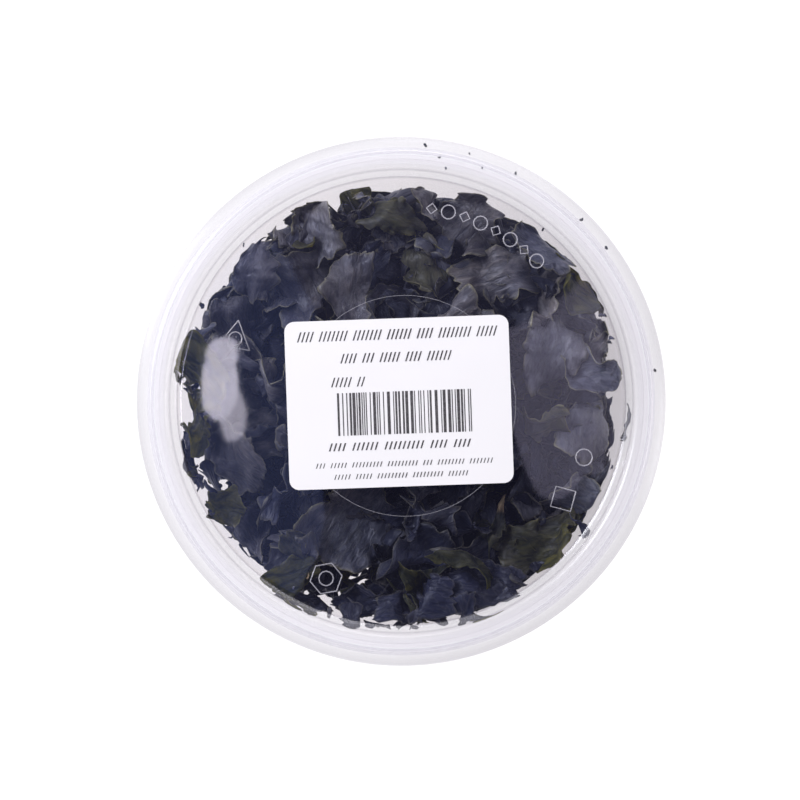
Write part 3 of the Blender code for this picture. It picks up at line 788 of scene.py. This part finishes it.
class Sheets:
    """Gathers many fine flakes into one mesh, each a closed thin blade."""

    def __init__(self):
        self.points, self.quads, self.tones, self.sheet = [], [], [], []
        self.count = 0

    def add(self, flake, detail, cells, place, top, tone, thick=FINE_THICK, shift=0.0,
            band=SOFT_BAND):
        columns, rows = cells[0] + 1, cells[1] + 1
        s, t = np.meshgrid(np.linspace(-1, 1, columns), np.linspace(-1, 1, rows))
        s, t = s.ravel(), t.ravel()
        ragged_s, ragged_t, ring = detail.ragged(s, t)
        x, y = flake.outline(ragged_s, ragged_t)
        if tone == "stem":
            y = y * (1 - STEM_TAPER * np.clip(detail.stem_end * s + 0.4, 0, 1))
        bent = flake.bend(x, y, detail.ripple(x, y, ring))
        middle = placed(detail.fold(bent), *place)
        middle[:, 2] += shift
        if top is not None:
            middle = pressed_in(middle, top, FINE_MARGIN, band)
        grid = middle.reshape(rows, columns, 3)
        normal = np.cross(np.gradient(grid, axis=1), np.gradient(grid, axis=0)).reshape(-1, 3)
        normal /= np.maximum(np.linalg.norm(normal, axis=1), 1e-12)[:, None]
        half = normal * (thick / 2 * (1 - 0.6 * ring ** 4))[:, None]
        tan = np.clip((detail.stem_end * s - 0.4) / 0.2, 0, 1) if tone == "stem" else 0 * s
        olive = OLIVE_SHARE[tone] if detail.olive is None else detail.olive
        colour = np.stack([0 * s + olive, ring, 0 * s + detail.light, tan], axis=1)
        self.points += [middle + half, middle - half]
        self.quads.append(slab_quads(rows, columns) + self.count)
        self.tones += [colour] * 2
        self.sheet += [np.stack([x, y], axis=1) / (10 * MM) + detail.offset] * 2
        self.count += 2 * len(s)

    def piece(self, name, mat, slot_name, *replaced):
        mesh = mesh_from(name, np.concatenate(self.points), np.concatenate(self.quads))
        tone = mesh.color_attributes.new("tone", "FLOAT_COLOR", "POINT")
        tone.data.foreach_set("color", np.concatenate(self.tones).astype(np.float32).ravel())
        corners = np.zeros(len(mesh.loops), np.int32)
        mesh.loops.foreach_get("vertex_index", corners)
        sheet = np.concatenate(self.sheet)[corners].astype(np.float32)
        mesh.uv_layers.new(name="sheet").data.foreach_set("uv", sheet.ravel())
        new_piece(name, mesh, mat, slot_name, *replaced)


# ---- wakame

def coarse_blade(flake, place):
    """The solid's corners for this flake, to find out where the solid lies."""
    s, t = np.meshgrid(np.linspace(-1, 1, 5), np.linspace(-1, 1, 4))
    points = placed(flake.bend(*flake.outline(s.ravel(), t.ravel())), *place)
    return pressed_in(points, 2 * LOOSE_START)


def dust_and_painted_light(x, y):
    """How pale a flake is: its pale dust, and painted light that makes flakes paler towards the
    back and the left, where the lamps shine most, and paler or darker in patches.
    """
    paleness = 0.6 + (y - 0.25 * x) / (50 * MM)
    for patch_x, patch_y, reach, amount in LIGHT_AND_DUST_PATCHES:
        away = math.hypot(x / MM - patch_x, y / MM - patch_y) / reach
        paleness += amount * math.exp(-away ** 2)
    return min(max(paleness, 0.03), 1.3)


def make_loose_flakes(mat):
    """The uppermost flakes, each where its solid lies, with the roll that fits the solid best."""
    for index, (x, y, length, width, way, tone) in enumerate(LOOSE_FLAKES):
        number = index + 1
        node = f"flake_{number:02d}"
        low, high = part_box(node)
        fits = []
        for roll in LOOSE_ROLLS:
            rng = np.random.default_rng(LOOSE_SEED + index)
            flake = Flake(rng, length * MM, width * MM, roll)
            normal = tilted((0, 0, 1), rng.uniform(0, LOOSE_TILT) * roll, rng)
            place = ((x * MM, y * MM, LOOSE_START), normal, math.radians(way))
            corners = coarse_blade(flake, place)
            misfit = abs(np.ptp(corners[:, 2]) + FLAKE_THICK - (high.z - low.z))
            misfit += abs(np.ptp(corners[:, 0]) - (high.x - low.x))
            shift = (high.z + low.z) / 2 - (corners[:, 2].max() + corners[:, 2].min()) / 2
            fits.append((misfit, shift, place, flake))
        _, shift, place, flake = min(fits, key=lambda fit: fit[0])
        folds = (0.1, 0.3) if number in FLAT_FLAKES else (0.15, 0.75)
        detail = Detail(DETAIL_SEED + index, length * MM, folds, 1.3)
        # Loose flakes not listed take their paleness from dust and from painted light, paler
        # towards the left and the back.
        detail.light = LOOSE_LIGHT.get(number, 0.6 * detail.light * dust_and_painted_light(x * MM, y * MM))
        detail.olive = LOOSE_OLIVE.get(number)
        detail.stem_end = -1 if number == TURNED_STEM else 1
        sheets = Sheets()
        sheets.add(flake, detail, LOOSE_CELLS, place, FINE_TOP, tone, shift=shift)
        sheets.piece("wakame_" + node, mat, tone, node)


def heap_places(rng):
    """The middle and normal of every flake of the heap, drawn as in the solids."""
    for row, height in enumerate(SIDE_ROWS):
        for step in range(SIDE_PER_ROW):
            turn = step + 0.5 * (row % 2) + rng.uniform(-0.2, 0.2)
            outward = Vector((*polar(1, math.tau * turn / SIDE_PER_ROW), 0))
            rise = height + rng.uniform(-1.5, 1.5) * MM
            radius = wall_radius(rise) - rng.uniform(2.2, 4.2) * MM
            yield (*outward.xy * radius, rise), tilted(outward, rng.uniform(0.1, 0.5), rng)
    for step in range(TOP_FLAKES):
        radius = 38.5 * MM * math.sqrt((step + 0.5) / TOP_FLAKES)
        rise = CORE_TOP + rng.uniform(-0.6, 1.4) * MM - 1.5 * MM * (radius / CORE_RADIUS) ** 4
        centre = (*polar(radius, step * GOLDEN_ANGLE), rise)
        yield centre, tilted((0, 0, 1), rng.uniform(0.05, 0.35), rng)
    for step in range(BOTTOM_FLAKES):
        radius = 32.0 * MM * math.sqrt((step + 0.5) / BOTTOM_FLAKES)
        centre = (*polar(radius, step * GOLDEN_ANGLE + 1), CORE_BOTTOM - 1.2 * MM)
        yield centre, tilted((0, 0, -1), rng.uniform(0.05, 0.3), rng)


def make_heap(mat):
    """The heap's own flakes, fine."""
    rng = np.random.default_rng(HEAP_SEED)
    sheets = Sheets()
    for number, (centre, normal) in enumerate(heap_places(rng)):
        flake = Flake(rng, rng.uniform(9.5, 15.5) * MM, rng.uniform(6.5, 10.5) * MM)
        place = (centre, normal, rng.uniform(0, math.tau))
        detail = Detail(HEAP_SEED * 100 + number, flake.length, (0.2, 0.8), orders=17)
        tone = "olive" if number % 7 == 3 else "dark"
        sheets.add(flake, detail, FILL_CELLS, place, HEAP_TOP, tone)
    sheets.piece("wakame_heap", mat, "dark", "heap")


def roof_over(x, y, reach):
    """The lower part of the lowest loose flake within reach of a place, if there is one."""
    over = []
    for number, (middle_x, middle_y, length, width, way, _) in enumerate(LOOSE_FLAKES, 1):
        turn = math.radians(way)
        off_x, off_y = x / MM - middle_x, y / MM - middle_y
        along = (off_x * math.cos(turn) + off_y * math.sin(turn)) / (length / 2 + reach)
        across = (off_y * math.cos(turn) - off_x * math.sin(turn)) / (width / 2 + reach)
        if math.hypot(along, across) < 1:
            low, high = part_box(f"flake_{number:02d}")
            over.append(low.z + ROOF_SHARE * (high.z - low.z))
    return min(over, default=None)


def fill_flakes(name, mat, rng, count, spot, sizes, tilt, cells, top, reach=ROOF_REACH):
    """More flakes, each at a spot drawn from a rule, and lower where a loose flake lies over it."""
    sheets = Sheets()
    for _ in range(count):
        (x, y, rise), normal = spot(rng)
        length = rng.uniform(*sizes) * MM
        slender = rng.uniform(0, 1) < RIBBON_SHARE
        width = length * (rng.uniform(0.22, 0.4) if slender else rng.uniform(0.45, 0.85))
        flake = Flake(rng, length, width, rng.uniform(0.5, 1.3))
        lean, own_top, roof = rng.uniform(*tilt), top, roof_over(x, y, reach)
        if roof is not None and rise > roof - ROOF_GAP:
            rise, own_top, lean = roof - ROOF_GAP, roof - ROOF_CLEAR, lean * 0.4
        place = ((x, y, rise), tilted(normal, lean, rng), rng.uniform(0, math.tau))
        detail = Detail(rng.integers(1 << 30), length, (0.3, 1.4), 1.3, orders=17)
        # Paleness from dust, and painted light that makes flakes paler towards the left and the
        # back.
        detail.light = (detail.light + 0.12) * dust_and_painted_light(x, y)
        tone = "olive" if rng.uniform(0, 1) < OLIVE_COUNT else "dark"
        sheets.add(flake, detail, cells, place, own_top, tone, band=FILL_BAND)
    sheets.piece(name, mat, "dark")


def top_spot(low, high):
    """A rule for the upper layers, which have slid a little towards the front."""
    def spot(rng):
        radius = FILL_REACH * math.sqrt(rng.uniform(0, 1))
        angle = rng.uniform(0, math.tau)
        rise = rng.uniform(low, high) - 1.5 * MM * (radius / FILL_REACH) ** 3
        return (*polar(radius, angle, SLUMP), rise), Vector((0, 0, 1))
    return spot


def rim_spot(rng):
    """High against the wall, but away from the thin flakes that the light shines through."""
    angle = math.radians(rng.uniform(*RIM_TURN))
    rise = rng.uniform(27.0, 41.5) * MM
    radius = wall_radius(rise) - rng.uniform(2.0, 7.0) * MM
    outward = Vector((*polar(1, angle), rng.uniform(0.2, 2.0)))
    return (*polar(radius, angle, SLUMP), rise), outward.normalized()


def edge_spot(rng):
    """Small bits that stick out of the heap all round, up to under the lid's rising edge."""
    start, end = EDGE_TURN
    angle = math.radians(start + (end - start) * rng.uniform(0, 1) ** 1.2)
    inset = np.interp(math.degrees(angle), *zip(*EDGE_INSET))
    rise = (42.8 - 0.6 * inset - (1.0 + 2.2 * inset) * rng.uniform(0, 1) ** 1.2) * MM
    radius = wall_radius(rise) + collar_step(rise) - (inset + rng.uniform(0.0, 3.0)) * MM
    outward = Vector((*polar(rng.uniform(-0.45, 0.15), angle), 1.0))
    return (*polar(radius, angle, SLUMP), rise), outward.normalized()


def side_spot(rng):
    outward = Vector((*polar(1, rng.uniform(0, math.tau)), 0))
    rise = rng.uniform(5.0, 28.0) * MM
    radius = wall_radius(rise) - rng.uniform(1.5, 4.5) * MM
    return (*outward.xy * radius, rise), outward


def bottom_spot(rng):
    radius = CORE_RADIUS * math.sqrt(rng.uniform(0, 1))
    angle = rng.uniform(0, math.tau)
    return (*polar(radius, angle), rng.uniform(2.4, 6.0) * MM), Vector((0, 0, -1))


def make_fill(mat):
    """The layers of fill: count, spot, lengths in mm, tilts, cells, top and reach under a flake."""
    upper, middle = top_spot(35.5 * MM, 40.5 * MM), top_spot(30 * MM, 35.5 * MM)
    layers = {
        "middle": (130, middle, (8, 15), (0.05, 0.9), FILL_CELLS, 40 * MM),
        "top": (100, upper, (8, 15), (0.05, 0.8), TOP_CELLS, FILL_TOP),
        "rim": (90, rim_spot, (7, 12), (0.0, 0.6), RIM_CELLS, FILL_TOP),
        "edge": (84, edge_spot, (4.5, 10), (0.0, 0.3), LOW_CELLS, FILL_TOP, EDGE_ROOF_REACH),
        "side": (150, side_spot, (7, 14), (0.0, 0.7), LOW_CELLS, 40 * MM),
        "low": (60, bottom_spot, (7, 13), (0.0, 0.4), LOW_CELLS, 20 * MM),
    }
    rng = np.random.default_rng(FILL_SEED)
    for name, layer in layers.items():
        fill_flakes("wakame_fill_" + name, mat, rng, *layer)


def make_core(mat):
    """The dark inside of the heap, under its flakes, coloured darker than the flakes as painted
    shade.
    """
    rings, turns = 40, 72
    middle, half = (CORE_TOP + CORE_BOTTOM) / 2 - 1.0 * MM, (CORE_TOP - CORE_BOTTOM) / 2
    ring, turn = (index.ravel() for index in np.mgrid[0:rings + 1, 0:turns])
    down, around = math.pi * ring / rings, math.tau * turn / turns
    x, y, z = np.sin(down) * np.cos(around), np.sin(down) * np.sin(around), np.cos(down)
    squareness = (np.hypot(x, y) ** 5 + abs(z) ** 5) ** -0.2
    lump = 1 + 0.03 * np.sin(7 * x + 2) * np.sin(6 * y + 1) * np.sin(5 * z + 3)
    lump += 0.015 * np.sin(23 * x + 1) * np.sin(19 * y) * np.sin(17 * z + 2)
    radius = (CORE_RADIUS - 1.5 * MM) * squareness * lump
    points = np.stack([x * radius, y * radius, middle + z * half * squareness * lump], axis=1)
    here = np.arange(rings * turns)
    after = here // turns * turns + (here + 1) % turns
    quads = np.stack([here, here + turns, after + turns, after], axis=1)
    new_piece("wakame_core", mesh_from("wakame_core", points, quads), mat, "dark")


def lid_height(radius):
    """The height of the lid's outer face over a radius, past the channel's inner edge."""
    if radius < CHANNEL_OUTER:
        return TOTAL_HEIGHT
    start, end = CHANNEL_OUTER - 0.5 * MM, LID_RADIUS - 1.2 * MM
    share = (radius - start) / (end - start)
    return SKIRT_WAIST + share * (SKIRT_BOTTOM + 0.7 * MM - SKIRT_WAIST)


def make_crumbs(mat):
    """Specks caught on the lid's rim, and crumbs of wakame high on the tub's wall."""
    rng = np.random.default_rng(SPECK_SEED)
    sheets = Sheets()

    def add(flake, centre, normal, top):
        place = (centre, normal, rng.uniform(0, math.tau))
        detail = Detail(rng.integers(1 << 30), flake.length, orders=8)
        sheets.add(flake, detail, SPECK_CELLS, place, top, "dark", SPECK_THICK, band=FILL_BAND)

    for x, y in RIM_SPECKS:
        length = rng.uniform(*SPECK_SIZE) * MM
        flake = Flake(rng, length, length * 0.6, 0.2)
        rise = lid_height(math.hypot(x, y) * MM) - SPECK_SINK
        add(flake, (x * MM, y * MM, rise), (0, 0, 1), None)
    for _ in range(WALL_CRUMBS):
        length = rng.uniform(0.8, 2.4) * MM
        angle = rng.uniform(0, math.tau)
        rise = rng.uniform(39.0, 42.5) * MM
        radius = wall_radius(rise) - rng.uniform(0.6, 2.2) * MM
        flake = Flake(rng, length, length * rng.uniform(0.3, 0.8))
        normal = tilted((0, 0, 1), rng.uniform(0, 0.9), rng)
        add(flake, (*polar(radius, angle), rise), normal, FINE_TOP)
    sheets.piece("wakame_crumbs", mat, "dark")


# ---- moulded marks

def polygon(x, y, radius, sides, turn):
    """A closed line of equal sides round a centre, in mm, with its first corner turned."""
    start = math.radians(turn)
    return [polar(radius, start + math.tau * side / sides, (x, y)) for side in range(sides + 1)]


def raised_lines(name, lines, depth, mat):
    """Thin round lines moulded on the panel, half sunk in it."""
    curve = bpy.data.curves.new(name, "CURVE")
    curve.dimensions = "3D"
    curve.bevel_depth = depth
    curve.bevel_resolution = 1
    curve.use_fill_caps = True
    for line in lines:
        spline = curve.splines.new("POLY")
        spline.points.add(len(line) - 1)
        for point, (x, y) in zip(spline.points, line):
            point.co = (x * MM, y * MM, PANEL_TOP, 1)
    new_piece(name, made_mesh(bpy.data.objects.new(name, curve)), mat, "plastic")


def make_marks(mat):
    """The fine ring moulded round the panel's middle, and plain marks that say nothing."""
    ring = polygon(*RING_CENTRE, RING_RADIUS, RING_SIDES, 0)
    raised_lines("lid_ring", [ring], RING_LINE, mat)
    lines = [polygon(*mark) for mark in MARKS]
    for step, turn in enumerate(MARK_ROW_TURNS):
        centre = polar(MARK_ROW_RADIUS, math.radians(turn))
        lines.append(polygon(*centre, *MARK_ROW_SHAPES[step % 2], turn))
    raised_lines("lid_marks", lines, MARK_LINE, mat)


# ---- label

def on_label(x, y, height):
    """Places on the label, from its own middle, in the row frame."""
    cos, sin = math.cos(LABEL_TURN), math.sin(LABEL_TURN)
    left, front = LABEL_CENTRE
    return np.stack([left + x * cos - y * sin, front + x * sin + y * cos, height + 0 * x], axis=1)


def make_label(mat):
    """The paper sticker: rounded corners, a hair of waviness, its rim down on the panel."""
    axes = [(2 * np.arange(count) / (count - 1) - 1) * size / 2
            for count, size in zip(LABEL_GRID, LABEL_SIZE)]
    x, y = (axis.ravel() for axis in np.meshgrid(*axes))
    straight_x, straight_y = (size / 2 - LABEL_CORNER for size in LABEL_SIZE)
    over_x, over_y = abs(x) - straight_x, abs(y) - straight_y
    round_in = np.maximum(over_x, over_y) / np.maximum(np.hypot(over_x, over_y), 1e-12)
    round_in = np.where((over_x > 0) & (over_y > 0), round_in, 1)
    x = np.copysign(straight_x + over_x * round_in, x)
    y = np.copysign(straight_y + over_y * round_in, y)
    lift = 0.02 * MM * np.sin(210 * x + 1) * np.sin(260 * y + 2)
    points = np.concatenate([on_label(x, y, LABEL_TOP + lift), on_label(x, y, LABEL_BOTTOM)])
    mesh = mesh_from("label_sheet", points, slab_quads(*LABEL_GRID[::-1]), smooth=False)
    new_piece("label_sheet", mesh, mat, "paper", "label")


def make_print(mat):
    """Plain bars that encode nothing, and rows of slanted strokes where words would be."""
    rng = np.random.default_rng(PRINT_SEED)
    boxes = []
    place, end, low, high = BARS
    while place < end:
        wide = rng.choice(BAR_WIDTHS)
        boxes.append((place, place + wide, low, high, 0))
        place += wide + rng.choice(BAR_GAPS)
    for place, end, low, high, pitch, stroke in STROKE_ROWS:
        word = rng.integers(3, 8)
        while place < end:
            boxes.append((place, place + stroke, low, high, STROKE_SLANT * (high - low)))
            word -= 1
            place += pitch if word else WORD_SPACE * pitch
            word = word or rng.integers(3, 10)
    left, right, low, high, slant = np.array(boxes).T * MM
    x = np.stack([left, right, right + slant, left + slant], axis=1).ravel()
    y = np.stack([low, low, high, high], axis=1).ravel()
    points = on_label(x, y, LABEL_TOP + PRINT_RISE)
    mesh = mesh_from("label_print", points, np.arange(len(points)).reshape(-1, 4), smooth=False)
    new_piece("label_print", mesh, mat, "paper")


# ---- studio

def in_studio(name, data, place):
    obj = bpy.data.objects.new(name, data)
    bpy.context.scene.collection.objects.link(obj)
    obj.location = place
    return obj


def area_light(name, place, size, power, colour, shape="RECTANGLE"):
    data = bpy.data.lights.new(name, "AREA")
    data.shape = shape
    data.size, data.size_y = size
    data.energy = power
    data.color = colour
    light = in_studio(name, data, place)
    light.visible_camera = False
    return light


def make_lights():
    for name, (place, *rest) in SOFTBOXES.items():
        aim = Vector(SOFTBOX_AIM) - Vector(place)
        light = area_light(name, place, *rest)
        light.rotation_euler = aim.to_track_quat("-Z", "Y").to_euler()
    # The cards face down. Only the gloss sees them, and the panel mirrors them at their pixels.
    path = CAMERA_PLACE[2] + CARD_HEIGHT - 2 * PANEL_TOP
    step = path * CAMERA_SENSOR / CAMERA_LENS / VIEW_WIDTH
    for name, (column, row, wide, tall, power, colour, *shape) in MIRRORED_CARDS.items():
        place = (CAMERA_PLACE[0] + (column - VIEW_WIDTH / 2) * step,
                 CAMERA_PLACE[1] - (row - VIEW_WIDTH / 2) * step, CARD_HEIGHT)
        card = area_light(name, place, (wide * step, tall * step), power, colour,
                          *shape or ["ELLIPSE"])
        card.visible_diffuse = False


def make_floor():
    """A plain white light-table floor, with a soft shadow painted round the tub by dimming its
    glow.
    """
    n = Nodes("studio_floor")
    place, flat, radius = n.from_axis()
    tint = n.mix(n.noise(place, 300.0), (0.99, 0.99, 0.995), (1.0, 1.0, 1.0))
    # Painted shadow: the glow is dimmed near the tub, most on one side.
    near = n.ramp(n.math("DIVIDE", radius, SHADE_RADIUS),
                  *((ring * MM / SHADE_RADIUS, (share,) * 3) for ring, share in SHADE_RINGS))
    side = n.vector("DOT_PRODUCT", n.vector("NORMALIZE", flat), SHADE_SIDE, output="Value")
    side = n.math("MAXIMUM", n.plus(side, SHADE_SPREAD), 0.0)
    side = n.math("POWER", n.math("DIVIDE", side, 1 + SHADE_SPREAD), 1.6)
    shade = n.times(near, n.scaled(side, SHADE_DEPTH, SHADE_ALL_ROUND))
    glow = n.add("Emission", {"Color": tint, "Strength": n.scaled(shade, -FLOOR_GLOW, FLOOR_GLOW)})
    paint = n.add("BsdfDiffuse", {"Color": (0.1, 0.1, 0.1, 1)})
    mat = n.surface(n.add("AddShader", {0: glow, 1: paint}))
    mesh = mesh_from("studio_floor", FLOOR_CORNERS, [(0, 1, 2, 3)])
    mesh.materials.append(mat)
    floor = in_studio("studio_floor", mesh, (0, 0, -FLOOR_DROP))


def make_world():
    """Bright round the horizon and dark overhead, so that the flat lid mirrors a dark ceiling."""
    bpy.context.scene.world = world = bpy.data.worlds.new("studio")
    n = Nodes(world, "OutputWorld")
    way = n.add("TexCoord").outputs["Generated"]
    rise = n.add("SeparateXYZ", {0: way}).outputs["Z"]
    side = n.vector("DOT_PRODUCT", way, WORLD_BRIGHT_SIDE, output="Value")
    start, end = HORIZON_BAND
    level = n.add("MapRange", {"Value": rise, "From Min": start, "From Max": end,
                               "To Min": HORIZON_STRENGTH, "To Max": n.plus(side, WORLD_STRENGTH)})
    n.surface(n.add("Background", {"Color": n.ramp(rise, *SKY_STOPS), "Strength": level}))


def make_camera():
    data = bpy.data.cameras.new("camera")
    data.lens = CAMERA_LENS
    data.sensor_width = CAMERA_SENSOR
    data.clip_start, data.clip_end = CAMERA_CLIP
    bpy.context.scene.camera = in_studio("camera", data, CAMERA_PLACE)


# ---- assembly

lid_plastic = plastic_material("lid_plastic", LID_BANDS)
tub_plastic = plastic_material("tub_plastic", TUB_BANDS, TUB_MIRROR)
mark_plastic_painted_highlight = plastic_material("mark_plastic_painted_highlight", MARK_HIGHLIGHT_BANDS)
wakame = wakame_material()
# The core's colour, darker than the flakes', is painted shade inside the heap.
shade = matt_material("wakame_shade", 260.0, ((0.35, (0.003, 0.004, 0.008)),
                                              (0.75, (0.007, 0.009, 0.016))), 0.7,
                      (260.0, 2.0, 0.6, 0.6 * MM))
paper = matt_material("label_paper", 70.0, ((0.0, (0.83, 0.8, 0.79)), (1.0, (0.86, 0.83, 0.82))),
                      0.55, (900.0, 4.0, 0.08, 0.1 * MM))
ink = matt_material("label_print", 2500.0, ((0.3, (0.03, 0.026, 0.028)),
                                            (0.8, (0.11, 0.1, 0.105))), 0.6)
make_lid(lid_plastic)
make_marks(mark_plastic_painted_highlight)
make_tub(tub_plastic)
make_core(shade)
make_loose_flakes(wakame)
make_heap(wakame)
make_fill(wakame)
make_crumbs(wakame)
make_label(paper)
make_print(ink)
make_floor()
make_world()
make_lights()
make_camera()
bpy.context.scene.view_settings.view_transform = "Standard"
